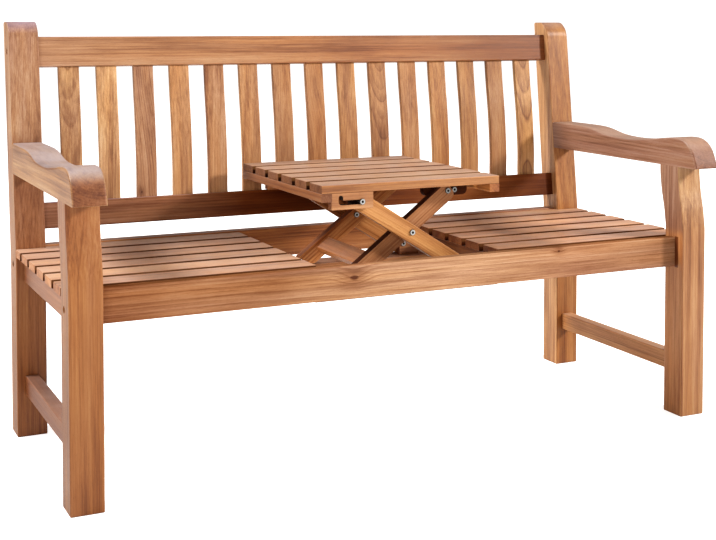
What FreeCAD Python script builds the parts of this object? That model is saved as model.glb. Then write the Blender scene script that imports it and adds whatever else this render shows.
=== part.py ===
import FreeCAD, Part
import math
import os
import Sketcher
from FreeCAD import Placement, Rotation, Vector

# Garden bench with a raising centre table on two pairs of crossed legs.
# Millimetres. X runs along the bench, Y from the front to the back, Z up.
# The origin is on the ground, at the middle of the bench's outline.
# Profiles are drawn with their depth measured from the front face of the front
# legs; "shift" carries them to the frame's origin.

doc = FreeCAD.newDocument("bench")
sheet = doc.addObject("Spreadsheet::Sheet", "Sizes")

SIZES = [
    # name, value, what it is
    ("half_span", 750, "half the length over the legs"),
    ("shift", 305, "front leg face to the frame's origin, in depth"),
    ("post", 66, "square section of legs and posts"),
    ("post_top", 930, "height of the back posts"),
    ("post_front", 528, "front face of a back post at the ground"),
    ("arm_under", 591, "underside of the armrests"),
    ("arm_nose", 42, "armrest nose in front of the leg"),
    ("seat_top", 424, "top of the seat slats"),
    ("slat_thick", 18, "seat and table slat thickness"),
    ("slat_wide", 65, "seat and table slat width"),
    ("slat_pitch", 82, "seat and table slat spacing"),
    ("slat_front", 54, "front edge of the first table slat"),
    ("seat_front", 69, "front edge of the first seat slat"),
    ("well", 220, "half the length of the opening in the seat"),
    ("rail_thick", 32, "side and rear seat rail thickness"),
    ("front_rail_thick", 22, "front seat rail thickness"),
    ("front_rail_low", 354.5, "underside of the front seat rail"),
    ("rear_rail_low", 357, "underside of the rear seat rail"),
    ("rear_rail_top", 427, "top of the rear seat rail"),
    ("side_rail_low", 351, "underside of the side seat rails"),
    ("stretcher_low", 96, "underside of the side stretchers"),
    ("stretcher_high", 42, "side stretcher height"),
    ("stretcher_thick", 30, "side stretcher thickness"),
    ("back_rail_thick", 30, "thickness of both back rails"),
    ("top_rail_high", 69, "top back rail height"),
    ("bottom_rail_high", 59, "bottom back rail height"),
    ("back_slat_wide", 48, "back slat width"),
    ("back_slat_thick", 12, "back slat thickness"),
    ("back_slat_pitch", 87.6, "back slat spacing"),
    ("tenon_thick", 16, "tenon thickness"),
    ("tenon_long", 22, "tenon length"),
    ("tenon_gap", 0.2, "play of a tenon in its mortise"),
    ("bearer_wide", 28, "bearer beside the opening"),
    ("bearer_low", 352, "underside of the bearers beside the opening"),
    ("table_half", 214.5, "half the length of the table top"),
    ("table_top", 591.5, "top of the raised table"),
    ("end_bearer", 24, "width of the bearers under the table ends"),
    ("leg_wide", 38, "width of a crossed leg"),
    ("leg_thick", 22, "thickness of a crossed leg"),
    ("block_thick", 18, "thickness of the blocks under the table"),
    ("block_low", 538, "underside of the slotted blocks"),
    ("pivot_low", 542, "underside of the pivot blocks"),
    ("slot_high", 10, "height of the slot"),
    ("bolt", 8, "pivot bolt diameter"),
    ("bolt_bore", 8.1, "bore for a pivot bolt"),
    ("bolt_head", 13, "bolt head diameter"),
    ("bolt_cap", 3, "bolt head thickness"),
    ("socket", 5, "across the flats of a bolt's socket"),
    ("run_gap", 0.3, "gap between a bolt head and a piece that turns under it"),
    ("shank", 8, "frame bolt diameter"),
    ("shank_bore", 8.4, "bore for a frame bolt"),
    ("recess", 14.5, "counterbore over a frame bolt"),
    ("base_top", 366, "top of the rails that the sliding feet stand on"),
    ("base_thick", 22, "height of those rails"),
    ("ease", 2.5, "eased edge of the frame's pieces"),
    ("ease_slat", 2, "eased edge of the slats"),
    ("arm_ease", 5, "rounded edge of the armrests"),
]


class Dim:
    """A length with the sheet expression that gives it."""

    def __init__(self, value, text):
        self.value = float(value)
        self.text = text

    def _join(self, other, sign, swap=False):
        b = other if isinstance(other, Dim) else Dim(other, "(%r)" % float(other))
        one, two = (b, self) if swap else (self, b)
        value = {
            "+": one.value + two.value,
            "-": one.value - two.value,
            "*": one.value * two.value,
            "/": one.value / two.value if two.value else 0.0,
        }[sign]
        return Dim(value, "(%s %s %s)" % (one.text, sign, two.text))

    def __add__(self, other):
        return self._join(other, "+")

    def __radd__(self, other):
        return self._join(other, "+", True)

    def __sub__(self, other):
        return self._join(other, "-")

    def __rsub__(self, other):
        return self._join(other, "-", True)

    def __mul__(self, other):
        return self._join(other, "*")

    def __rmul__(self, other):
        return self._join(other, "*", True)

    def __truediv__(self, other):
        return self._join(other, "/")

    def __neg__(self):
        return self._join(-1, "*")


S = {}
for row, (alias, number, meaning) in enumerate(SIZES, 1):
    sheet.set("A%d" % row, alias)
    sheet.set("B%d" % row, str(number))
    sheet.setAlias("B%d" % row, alias)
    sheet.set("C%d" % row, meaning)
    S[alias] = Dim(number, "Sizes.%s" % alias)
doc.recompute()


def num(x):
    return x.value if isinstance(x, Dim) else float(x)


def bind(obj, prop, x):
    """Sets a property, by expression when the length comes from the sheet."""
    if isinstance(x, Dim):
        obj.setExpression(prop, x.text)
    elif "." not in prop:
        setattr(obj, prop, float(x))


count = [0]


def name(stem):
    count[0] += 1
    return "%s_%03d" % (stem, count[0])


def plane(body, role):
    return [f for f in body.Origin.OriginFeatures if f.Role == role][0]


def sketch(body, role, offset=0.0):
    sk = body.newObject("Sketcher::SketchObject", name("Sketch"))
    sk.AttachmentSupport = (plane(body, role), "")
    sk.MapMode = "FlatFace"
    sk.AttachmentOffset = Placement(Vector(0, 0, num(offset)), Rotation())
    if isinstance(offset, Dim):
        sk.setExpression("AttachmentOffset.Base.z", offset.text)
    return sk


def polygon(sk, points):
    """A closed polygon whose corners are each dimensioned from the origin."""
    n = len(points)
    at = [Vector(num(a), num(b), 0) for a, b in points]
    for i in range(n):
        sk.addGeometry(Part.LineSegment(at[i], at[(i + 1) % n]))
    for i in range(n):
        sk.addConstraint(Sketcher.Constraint("Coincident", i, 2, (i + 1) % n, 1))
    for i, (a, b) in enumerate(points):
        k = sk.addConstraint(Sketcher.Constraint("DistanceX", -1, 1, i, 1, num(a)))
        if isinstance(a, Dim):
            sk.setExpression("Constraints[%d]" % k, a.text)
        k = sk.addConstraint(Sketcher.Constraint("DistanceY", -1, 1, i, 1, num(b)))
        if isinstance(b, Dim):
            sk.setExpression("Constraints[%d]" % k, b.text)


def outline(sk, runs):
    """A closed outline of straight runs and smooth curves, end to end."""
    for run in runs:
        pts = [Vector(num(a), num(b), 0) for a, b in run["points"]]
        if run["kind"] == "line":
            sk.addGeometry(Part.LineSegment(pts[0], pts[1]))
        elif run["kind"] == "arc":
            sk.addGeometry(Part.Arc(pts[0], pts[1], pts[2]))
        else:
            curve = Part.BSplineCurve()
            if run.get("start") and run.get("end"):
                curve.interpolate(
                    Points=pts,
                    InitialTangent=Vector(*run["start"], 0),
                    FinalTangent=Vector(*run["end"], 0),
                )
            else:
                curve.interpolate(pts)
            sk.addGeometry(curve)


def line(a, b):
    return {"kind": "line", "points": [a, b]}


def arc(a, b, c):
    return {"kind": "arc", "points": [a, b, c]}


def curve(points, start=None, end=None):
    return {"kind": "curve", "points": points, "start": start, "end": end}


def pad(body, sk, length, reverse=False):
    feature = body.newObject("PartDesign::Pad", name("Pad"))
    feature.Profile = sk
    bind(feature, "Length", length)
    feature.Reversed = reverse
    doc.recompute()
    return feature


def pocket(body, sk, length, reverse=False):
    before = body.Shape.Volume
    feature = body.newObject("PartDesign::Pocket", name("Pocket"))
    feature.Profile = sk
    bind(feature, "Length", length)
    feature.Reversed = reverse
    doc.recompute()
    if not body.Shape.Volume < before - 1:
        raise RuntimeError("a pocket cut nothing in " + body.Name)
    return feature


def ease_body(body, radius, pick):
    """Rounds the edges of the body's last feature that pick chooses."""
    tip = body.Tip
    names = [
        "Edge%d" % (i + 1) for i, e in enumerate(tip.Shape.Edges) if pick(e)
    ]
    feature = body.newObject("PartDesign::Fillet", name("Fillet"))
    feature.Base = (tip, names)
    bind(feature, "Radius", radius)
    doc.recompute()
    return feature


def box(x0, y0, z0, lx, ly, lz):
    """A box whose corner and sides may come from the sheet."""
    b = doc.addObject("Part::Box", name("Box"))
    for prop, value in (("Length", lx), ("Width", ly), ("Height", lz)):
        bind(b, prop, value)
    b.Placement = Placement(Vector(num(x0), num(y0), num(z0)), Rotation())
    for axis, value in (("x", x0), ("y", y0), ("z", z0)):
        if isinstance(value, Dim):
            b.setExpression("Placement.Base.%s" % axis, value.text)
    doc.recompute()
    return b


def cyl(x, y, z, axis, radius, length):
    """A cylinder that starts at a point and runs along +X, +Y or +Z."""
    c = doc.addObject("Part::Cylinder", name("Cylinder"))
    bind(c, "Radius", radius)
    bind(c, "Height", length)
    turn = {
        "x": Rotation(Vector(0, 1, 0), 90),
        "y": Rotation(Vector(1, 0, 0), -90),
        "z": Rotation(),
    }[axis]
    c.Placement = Placement(Vector(num(x), num(y), num(z)), turn)
    doc.recompute()
    return c


def ease(obj, radius, pick):
    """Rounds the chosen edges of a solid."""
    edges = [
        (i + 1, num(radius), num(radius))
        for i, e in enumerate(obj.Shape.Edges)
        if pick(e)
    ]
    f = doc.addObject("Part::Fillet", name("Ease"))
    f.Base = obj
    f.Edges = edges
    doc.recompute()
    return f


def fuse(parts):
    f = doc.addObject("Part::MultiFuse", name("Fuse"))
    f.Shapes = parts
    f.Refine = True
    doc.recompute()
    return f


def cut(base, tools):
    if not tools:
        return base
    tool = tools[0]
    if len(tools) > 1:
        tool = doc.addObject("Part::Compound", name("Tools"))
        tool.Links = tools
        doc.recompute()
    c = doc.addObject("Part::Cut", name("Cut"))
    c.Base = base
    c.Tool = tool
    doc.recompute()
    return c


def group(parts):
    g = doc.addObject("Part::Compound", name("Group"))
    g.Links = parts
    doc.recompute()
    return g


def along(axis):
    """Picks the straight edges that run along X, Y or Z."""
    want = {"x": Vector(1, 0, 0), "y": Vector(0, 1, 0), "z": Vector(0, 0, 1)}[axis]

    def pick(e):
        if e.Length < 1 or not isinstance(e.Curve, Part.Line):
            return False
        return abs(abs(e.Curve.Direction.dot(want)) - 1) < 1e-6

    return pick


def every(e):
    return True


def on_side(low, high):
    """Picks the profile's edges that lie in the planes X = low and X = high."""

    def pick(e):
        b = e.BoundBox
        return (abs(b.XMin - low) < 1e-4 and abs(b.XMax - low) < 1e-4) or (
            abs(b.XMin - high) < 1e-4 and abs(b.XMax - high) < 1e-4
        )

    return pick


nodes = []


def node(obj, label):
    obj.Label = label
    nodes.append(obj)
    return obj


SIDES = (("left", -1), ("right", 1))
shift = -S["shift"]
span = S["half_span"]
inner = span - S["post"]
middle = span - S["post"] / 2


def depth(y):
    return y + shift


# ---------------------------------------------------------------- joinery data
# Each tenon is a box (x0, y0, z0, lx, ly, lz) in the bench's frame; the mortise
# is the same box with a little play all round.


def with_play(spec):
    g = S["tenon_gap"]
    x0, y0, z0, lx, ly, lz = spec
    return box(x0 - g, y0 - g, z0 - g, lx + 2 * g, ly + 2 * g, lz + 2 * g)


def side_x(sign, near, length):
    """The low X and length of a box that starts |X| = near and runs outward."""
    return near if sign > 0 else -(near + length)


front_mid = 40.5
rear_mid = 561.0
rail_z = 372.0
rail_zh = 38.0


def rail_tenon(sign, mid):
    return (
        side_x(sign, inner, S["tenon_long"]),
        depth(mid - S["tenon_thick"] / 2),
        rail_z,
        S["tenon_long"],
        S["tenon_thick"],
        rail_zh,
    )


def side_tenon(sign, front, low, high, thick):
    """The tenon of a side rail or stretcher, in a leg or a post."""
    y0 = S["post"] - S["tenon_long"] if front else S["post_front"]
    return (
        sign * middle - thick / 2,
        depth(y0),
        low,
        thick,
        S["tenon_long"],
        high,
    )


RAKE = 6.7
TOP_Y, TOP_Z = 613.1, 860.5
LOW_Y, LOW_Z = 570.0, 489.9
# how far the slats stand in front of the middle of each rail, square to its face
TOP_SET, LOW_SET = 1.5, -3.5
FRONT_WARD = Vector(-math.cos(math.radians(RAKE)), math.sin(math.radians(RAKE)), 0)


def raked(obj, y, z, base):
    """Leans a piece that was made about its own centre, as the posts lean."""
    obj.Placement = Placement(
        Vector(0, y - S["shift"].value, z), Rotation(Vector(1, 0, 0), -RAKE)
    ).multiply(base)
    return obj


def back_tenon(sign, y, z, high, play):
    g = S["tenon_gap"].value if play else 0.0
    t = 14.0
    length = S["tenon_long"].value
    b = doc.addObject("Part::Box", name("BackTenon"))
    b.Length = length + 2 * g
    b.Width = t + 2 * g
    b.Height = high + 2 * g
    x0 = inner.value - g if sign > 0 else -(inner.value + length) - g
    raked(b, y, z, Placement(Vector(x0, -t / 2 - g, -high / 2 - g), Rotation()))
    doc.recompute()
    return b


BOLTS = (("front", 39.0, 387.0), ("rear", 561.0, 387.0), ("top", 611.5, 862.0))


def bolt_run(sign, y, z):
    """The counterbore and bore for one frame bolt, from the outer face in."""
    deep = 12.0
    x_out = span.value
    a = cyl(x_out - deep if sign > 0 else -x_out - 1, y - 305, z, "x", S["recess"] / 2, deep + 1)
    b = cyl(x_out - 112 if sign > 0 else -x_out + 1, y - 305, z, "x", S["shank_bore"] / 2, 111)
    return [a, b]


# -------------------------------------------------------------------- the posts
def back_post(label, sign):
    body = doc.addObject("PartDesign::Body", name("BackPost"))
    sk = sketch(body, "YZ_Plane", sign * middle - S["post"] / 2)
    f0 = S["post_front"]
    b0 = f0 + S["post"]
    outline(
        sk,
        [
            line((f0, 2), (f0, 412)),
            curve([(f0, 412), (528.55, 430), (530.25, 448)], (0, 1), (0.125, 0.992)),
            line((530.25, 448), (585.9, 893.2)),
            curve([(585.9, 893.2), (595.5, 914.0), (609.5, 926.0), (627.5, 930)], (0.5, 4), (4, 0)),
            line((627.5, 930), (646.5, 930)),
            curve([(646.5, 930), (650.8, 928.0), (652, 923.5)], (4, 0), (-0.3, -3)),
            line((652, 923.5), (596.1, 410)),
            curve([(596.1, 410), (594.5, 392), (b0, 374)], (-0.107, -0.994), (0, -1)),
            line((b0, 374), (b0, 2)),
            line((b0, 2), (b0 - 2, 0)),
            line((b0 - 2, 0), (f0 + 2, 0)),
            line((f0 + 2, 0), (f0, 2)),
        ],
    )
    pad(body, sk, S["post"])
    low, high = num(sign * middle - S["post"] / 2), num(sign * middle + S["post"] / 2)
    side = on_side(low, high)
    ease_body(body, S["ease"], side)
    body.Placement = Placement(Vector(0, -S["shift"].value, 0), Rotation())
    tools = [
        with_play(rail_tenon(sign, rear_mid)),
        with_play(side_tenon(sign, False, 362, 34, 16)),
        with_play(side_tenon(sign, False, 104, 26, 14)),
        back_tenon(sign, TOP_Y, TOP_Z, 45, True),
        back_tenon(sign, LOW_Y, LOW_Z, 37, True),
        with_play(arm_tenon(sign)),
    ]
    for _, y, z in BOLTS[1:]:
        tools += bolt_run(sign, y, z)
    node(cut(body, tools), label)


def arm_tenon(sign):
    return (sign * middle - 15, depth(545), 606, 30, 25, 38)


def leg_tenon(sign):
    return (sign * middle - 17, depth(30), S["arm_under"] - 2, 34, 34, 30)


def front_leg(label, sign):
    body = doc.addObject("PartDesign::Body", name("FrontLeg"))
    sk = sketch(body, "YZ_Plane", sign * middle - S["post"] / 2)
    b0 = S["post"]
    top = S["arm_under"]
    outline(
        sk,
        [
            line((0, 2), (0, 436)),
            curve(
                [(0, 436), (2.6, 462), (6.2, 486), (11.2, 509), (16.2, 532), (19.6, 555), (21.6, 575), (22, top)],
                (0, 1),
                (0, 1),
            ),
            line((22, top), (89, top)),
            curve(
                [(89, top), (88.6, 575), (86.6, 555), (83, 532), (77.7, 509), (72.4, 486), (68.6, 462), (b0, 436)],
                (0, -1),
                (0, -1),
            ),
            line((b0, 436), (b0, 2)),
            line((b0, 2), (b0 - 2, 0)),
            line((b0 - 2, 0), (2, 0)),
            line((2, 0), (0, 2)),
        ],
    )
    pad(body, sk, S["post"])
    low, high = num(sign * middle - S["post"] / 2), num(sign * middle + S["post"] / 2)

    def side(e):
        return on_side(low, high)(e) and e.BoundBox.ZMin < top.value - 0.5

    ease_body(body, S["ease"], side)
    body.Placement = Placement(Vector(0, -S["shift"].value, 0), Rotation())
    solid = fuse([body, box(*leg_tenon(sign))])
    tools = [
        with_play(rail_tenon(sign, front_mid)),
        with_play(side_tenon(sign, True, 362, 34, 16)),
        with_play(side_tenon(sign, True, 104, 26, 14)),
    ]
    tools += bolt_run(sign, *BOLTS[0][1:])
    node(cut(solid, tools), label)


def armrest(label, sign):
    body = doc.addObject("PartDesign::Body", name("Armrest"))
    low, high = num(sign * middle - S["post"] / 2), num(sign * middle + S["post"] / 2)
    sk = sketch(body, "YZ_Plane", sign * middle - S["post"] / 2)
    under = S["arm_under"]
    nose = -S["arm_nose"]
    outline(
        sk,
        [
            line((nose + 3, under), (548.0, under)),
            line((548.0, under), (556.5, 659)),
            line((556.5, 659), (440, 659)),
            curve(
                [
                    (440, 659), (400, 658.0), (362, 653.6), (323, 646.2), (285, 642.2),
                    (240, 641.0), (190, 642.6), (150, 646.4), (115, 650.4), (80, 655.2),
                    (55, 657.8), (30, 659),
                ],
                (-1, 0),
                (-1, 0),
            ),
            curve(
                [
                    (30, 659), (10, 656.8), (-4, 651.6), (-17, 642.4), (-28.5, 627.5),
                    (-36.5, 610), (nose, 594),
                ],
                (-1, 0),
                (-0.2, -1),
            ),
            arc((nose, 594), (nose + 0.9, 591.9), (nose + 3, under)),
        ],
    )
    pad(body, sk, S["post"])
    side = on_side(low, high)

    def upper(e):
        return side(e) and e.BoundBox.ZMax > 600 and e.BoundBox.YMin < 540

    def lower(e):
        return side(e) and e.BoundBox.ZMax < 596

    ease_body(body, S["arm_ease"], upper)
    body.Placement = Placement(Vector(0, -S["shift"].value, 0), Rotation())
    solid = fuse([body, box(*arm_tenon(sign))])
    node(cut(solid, [with_play(leg_tenon(sign))]), label)


# -------------------------------------------------------------------- the rails
def straight(x0, y0, z0, lx, ly, lz, axis, tenons, label, cuts=(), radius=None):
    """A straight member with eased long edges, tenons on its ends and bores."""
    solid = ease(box(x0, y0, z0, lx, ly, lz), radius or S["ease"], along(axis))
    if tenons:
        solid = fuse([solid] + [box(*spec) for spec in tenons])
    node(cut(solid, list(cuts)), label)


def back_rail(label, y, z, high, tenon_high, from_top, bolts, ahead):
    """A raked back rail: one mortise for a back slat, repeated along it."""
    body = doc.addObject("PartDesign::Body", name("BackRail"))
    half = inner
    t = S["back_rail_thick"] / 2
    sk = sketch(body, "XY_Plane", -high / 2)
    polygon(sk, [(-half, -t), (half, -t), (half, t), (-half, t)])
    pad(body, sk, high)
    ease_body(body, S["ease"], along("x"))
    w = S["back_slat_wide"] / 2 + 0.2
    d = S["back_slat_thick"] / 2 + 0.2
    first = -7 * S["back_slat_pitch"]
    mouth = -high / 2 if from_top else high / 2
    sk = sketch(body, "XY_Plane", mouth)
    polygon(sk, [(first - w, -d - ahead), (first + w, -d - ahead), (first + w, d - ahead), (first - w, d - ahead)])
    cutter = pocket(body, sk, 15.0, reverse=from_top)
    row = body.newObject("PartDesign::LinearPattern", name("Row"))
    row.Originals = [cutter]
    row.Direction = (plane_axis(body, "X_Axis"), [""])
    bind(row, "Length", 14 * S["back_slat_pitch"])
    row.Occurrences = 15
    body.Tip = row
    doc.recompute()
    raked(body, y, z, Placement())
    doc.recompute()
    solid = fuse([body] + [back_tenon(sign, y, z, tenon_high, False) for _, sign in SIDES])
    tools = []
    if bolts:
        for _, sign in SIDES:
            tools.append(bolt_run(sign, *BOLTS[2][1:])[1])
    node(cut(solid, tools), label)


def plane_axis(body, role):
    return [f for f in body.Origin.OriginFeatures if f.Role == role][0]


def back_slat(label, index):
    """A back slat, bowed forward, with a short straight stub in each rail."""
    body = doc.addObject("PartDesign::Body", name("BackSlat"))
    centre = (index - 7) * S["back_slat_pitch"]
    sk = sketch(body, "YZ_Plane", centre - S["back_slat_wide"] / 2)
    r = math.radians(RAKE)
    up = Vector(math.sin(r), math.cos(r), 0)
    low_face = Vector(LOW_Y, LOW_Z, 0) + up * (S["bottom_rail_high"].value / 2)
    top_face = Vector(TOP_Y, TOP_Z, 0) - up * (S["top_rail_high"].value / 2)
    # front face of the slat, depth and height, from the bottom rail up
    face = [
        (572.0, 540), (571.6, 560), (572.0, 580), (573.0, 600), (574.8, 620),
        (576.6, 640), (580.8, 680), (586.3, 720), (592.9, 760), (598.3, 800),
    ]
    t = S["back_slat_thick"].value / 2
    path = [low_face + FRONT_WARD * LOW_SET]
    path += [Vector(y + t, z, 0) for y, z in face]
    path.append(top_face + FRONT_WARD * TOP_SET)
    fine = Part.BSplineCurve()
    fine.interpolate(path)
    front, rear = [], []
    n = 14
    for i in range(n + 1):
        u = fine.FirstParameter + (fine.LastParameter - fine.FirstParameter) * i / n
        p = fine.value(u)
        tan = fine.tangent(u)[0]
        across = Vector(-tan.y, tan.x, 0)
        if i in (0, n):
            across = Vector(-up.y, up.x, 0)
        front.append(p + across * t)
        rear.append(p - across * t)

    def yz(v):
        return (v.x, v.y)

    stub = 14.0
    a = yz(front[0] - up * stub)
    b = yz(rear[0] - up * stub)
    c = yz(front[-1] + up * stub)
    d = yz(rear[-1] + up * stub)
    outline(
        sk,
        [
            line(a, yz(front[0])),
            curve([yz(p) for p in front]),
            line(yz(front[-1]), c),
            line(c, d),
            line(d, yz(rear[-1])),
            curve([yz(p) for p in reversed(rear)]),
            line(yz(rear[0]), b),
            line(b, a),
        ],
    )
    pad(body, sk, S["back_slat_wide"])
    low = num(centre - S["back_slat_wide"] / 2)
    high = num(centre + S["back_slat_wide"] / 2)
    side = on_side(low, high)
    ease_body(body, S["ease_slat"], lambda e: side(e) and e.Length > 100)
    body.Placement = Placement(Vector(0, -S["shift"].value, 0), Rotation())
    doc.recompute()
    node(body, label)


# -------------------------------------------------------------------- the seat
def seat_slats(side_name, sign):
    inner_end = S["well"]
    length = span - inner_end
    thick = S["slat_thick"]
    x0 = inner_end if sign > 0 else -span
    z0 = S["seat_top"] - thick
    rows = []
    for i in range(6):
        y0 = depth(S["seat_front"] + i * S["slat_pitch"])
        s = ease(box(x0, y0, z0, length, S["slat_wide"], thick), S["ease_slat"], every)
        if i == 5:
            # notched round the back post
            clear = 1.5
            x = inner - clear if sign > 0 else -(span + 1)
            notch = box(x, depth(S["post_front"] - clear), z0 - 1, S["post"] + clear + 1, 40, thick + 2)
            node(cut(s, [notch]), "seat_slat_rear_" + side_name)
        else:
            rows.append(s)
    node(group(rows), "seat_slats_" + side_name)


# ------------------------------------------------------- the table and its legs
# Crossed legs. The angles are those of the raised table.
TILT_A, TILT_B = 32.541, 36.902
FOLD_LINE = 386.0
LOW = (144.709, 393.082)
CENTRE = (8.85, 475.38)
PIN = (-120.10, 552.69)
TOP = (117.79, 555.68)
FOOT = (-103.54, 386.77)
SLOT_END = -167.83
SLOT_Z = 552.38
# The sliding leg's foot: a long nose along its upper edge, and a flat that lies
# just above the base rail when the table is up.
TOE = ((-30.0, 19.0, 2.0), (-15.4, -12.2, 6.0), (-6.34, -19.0, 17.0))

# Depth of each layer in the front set; the rear set is its mirror image.
MIRROR = 251.5


def layer(y0, y1, rear):
    if rear:
        return 2 * MIRROR - y1, 2 * MIRROR - y0
    return y0, y1


def leg_body(label, length, ends, pins, angle, origin, y0, flip, toe=()):
    """A crossed leg, drawn flat along local X with its centre line at Z = 0.

    ends is (reach beyond the first pivot, its corner radius, reach beyond the
    last one, its corner radius); pins lists the bores on the leg; toe lists
    the corners of a foot as (x, z, radius), from the upper edge down.
    """
    half = S["leg_wide"] / 2
    body = doc.addObject("PartDesign::Body", name("Leg"))
    sk = sketch(body, "XZ_Plane")
    if toe:
        first = [(x, half if i == 0 else (-half if i == len(toe) - 1 else z)) for i, (x, z, _) in enumerate(toe)]
    else:
        first = [(-ends[0], half), (-ends[0], -half)]
    polygon(
        sk,
        [first[-1], (length + ends[2], -half), (length + ends[2], half)] + first[:-1],
    )
    pad(body, sk, S["leg_thick"], reverse=True)

    def corner(end):
        def pick(e):
            b = e.BoundBox
            return (
                abs(b.XMin - end) < 1e-4
                and abs(b.XMax - end) < 1e-4
                and b.ZMax - b.ZMin < 1e-4
                and e.Length > 5
            )

        return pick

    def toe_corner(x, z):
        def pick(e):
            b = e.BoundBox
            return (
                b.XMax - b.XMin < 1e-4
                and b.ZMax - b.ZMin < 1e-4
                and abs(b.XMin - x) < 0.05
                and abs(b.ZMin - z) < 0.05
                and e.Length > 5
            )

        return pick

    if toe:
        for x, z, r in toe:
            ease_body(body, r, toe_corner(x, z))
    else:
        ease_body(body, ends[1], corner(-ends[0]))
    ease_body(body, ends[3], corner(length + ends[2]))

    def face_edge(e):
        b = e.BoundBox
        t = S["leg_thick"].value
        return abs(b.YMax - b.YMin) < 1e-4 and (abs(b.YMin) < 1e-4 or abs(b.YMin - t) < 1e-4)

    ease_body(body, 1.5, face_edge)
    turn = Rotation(Vector(0, 1, 0), -angle)
    if flip:
        turn = Rotation(Vector(0, 1, 0), -(180 - angle))
    place = Placement(Vector(origin[0], y0 - S["shift"].value, origin[1]), turn)
    body.Placement = place
    doc.recompute()
    tools = [cyl(x, y0 - 305 - 1, z, "y", S["bolt_bore"] / 2, S["leg_thick"] + 2) for x, z in pins]
    node(cut(body, tools), label)


def line_point(pivot, along_leg, across, angle, flip):
    """Moves from a pivot along and across a leg, in the X-Z plane."""
    r = math.radians(angle)
    if flip:
        u = (-math.cos(r), math.sin(r))
        v = (math.sin(r), math.cos(r))
    else:
        u = (math.cos(r), math.sin(r))
        v = (-math.sin(r), math.cos(r))
    return (
        pivot[0] + u[0] * along_leg + v[0] * across,
        pivot[1] + u[1] * along_leg + v[1] * across,
    )


def bolt(x, y0, y1, z):
    """A pivot bolt along Y with a flat round head and a round cap, each with a hex socket."""
    cap = S["bolt_cap"]
    head = cyl(x, y0 - 305 - cap.value, z, "y", S["bolt_head"] / 2, cap)
    tail = cyl(x, y1 - 305, z, "y", S["bolt_head"] / 2, cap)
    rod = cyl(x, y0 - 305 - 0.5, z, "y", S["bolt"] / 2, y1 - y0 + 1)

    def rim(end):
        def pick(e):
            b = e.BoundBox
            return abs(b.YMax - b.YMin) < 1e-4 and abs(b.YMin - end) < 1e-4 and b.XMax - b.XMin > 12
        return pick

    head = ease(head, 0.9, rim(y0 - 305 - cap.value))
    tail = ease(tail, 0.9, rim(y1 - 305 + cap.value))
    solid = fuse([head, rod, tail])
    keys = []
    for y in (y0 - 305 - cap.value - 1, y1 - 305 + cap.value - 2):
        k = doc.addObject("Part::Prism", name("Key"))
        k.Polygon = 6
        k.Circumradius = S["socket"].value / math.sqrt(3)
        k.Height = 3
        k.Placement = Placement(Vector(x, y, z), Rotation(Vector(1, 0, 0), -90))
        keys.append(k)
    doc.recompute()
    return cut(solid, keys)


def frame_bolt(sign, y, z):
    """A frame bolt along X: its head sits at the bottom of the counterbore."""
    out = span.value - 12
    x_head = out if sign > 0 else -out - 4
    head = cyl(x_head, y - 305, z, "x", S["bolt_head"] / 2, 4)
    rod = cyl(out - 98 if sign > 0 else -out - 0.5, y - 305, z, "x", S["shank"] / 2, 98.5)
    outer = x_head + 4 if sign > 0 else x_head

    def rim(e):
        b = e.BoundBox
        return abs(b.XMax - b.XMin) < 1e-4 and abs(b.XMin - outer) < 1e-4

    solid = fuse([ease(head, 1.0, rim), rod])
    k = doc.addObject("Part::Prism", name("Key"))
    k.Polygon = 6
    k.Circumradius = S["socket"].value / math.sqrt(3)
    k.Height = 4
    k.Placement = Placement(
        Vector(outer - 2.5 if sign > 0 else outer - 1.5, y - 305, z),
        Rotation(Vector(0, 1, 0), 90),
    )
    doc.recompute()
    return cut(solid, [k])


# ------------------------------------------------------------ build every piece
for side_name, sign in SIDES:
    back_post("back_post_" + side_name, sign)
    front_leg("front_leg_" + side_name, sign)
    armrest("armrest_" + side_name, sign)

run = S["post_front"] - S["post"]
for side_name, sign in SIDES:
    t = S["rail_thick"]
    straight(
        sign * middle - t / 2, depth(S["post"]), S["side_rail_low"], t, run,
        S["seat_top"] - S["slat_thick"] - S["side_rail_low"], "y",
        [side_tenon(sign, True, 362, 34, 16), side_tenon(sign, False, 362, 34, 16)],
        "side_seat_rail_" + side_name,
    )
    t = S["stretcher_thick"]
    straight(
        sign * middle - t / 2, depth(S["post"]), S["stretcher_low"], t, run,
        S["stretcher_high"], "y",
        [side_tenon(sign, True, 104, 26, 14), side_tenon(sign, False, 104, 26, 14)],
        "side_stretcher_" + side_name,
    )

for label, mid, t, low, top, where in (
    ("front_seat_rail", front_mid, S["front_rail_thick"], S["front_rail_low"], S["seat_top"], BOLTS[0][1:]),
    ("rear_seat_rail", rear_mid, S["rail_thick"], S["rear_rail_low"], S["rear_rail_top"], BOLTS[1][1:]),
):
    straight(
        -inner, depth(mid - t / 2), low, 2 * inner, t, top - low, "x",
        [rail_tenon(-1, mid), rail_tenon(1, mid)], label,
        cuts=[bolt_run(sign, *where)[1] for _, sign in SIDES],
    )

back_rail("back_top_rail", TOP_Y, TOP_Z, S["top_rail_high"], 45, True, True, TOP_SET)
back_rail("back_bottom_rail", LOW_Y, LOW_Z, S["bottom_rail_high"], 37, False, False, LOW_SET)
for index in range(15):
    back_slat("back_slat_%02d" % (index + 1), index)

for side_name, sign in SIDES:
    seat_slats(side_name, sign)
    w = S["bearer_wide"]
    y0 = depth(front_mid + S["front_rail_thick"] / 2)
    straight(
        side_x(sign, S["well"], w), y0, S["bearer_low"], w,
        (rear_mid - S["rail_thick"] / 2) - (front_mid + S["front_rail_thick"] / 2),
        S["seat_top"] - S["slat_thick"] - S["bearer_low"], "y", [],
        "seat_bearer_" + side_name, radius=1.5,
    )

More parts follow.
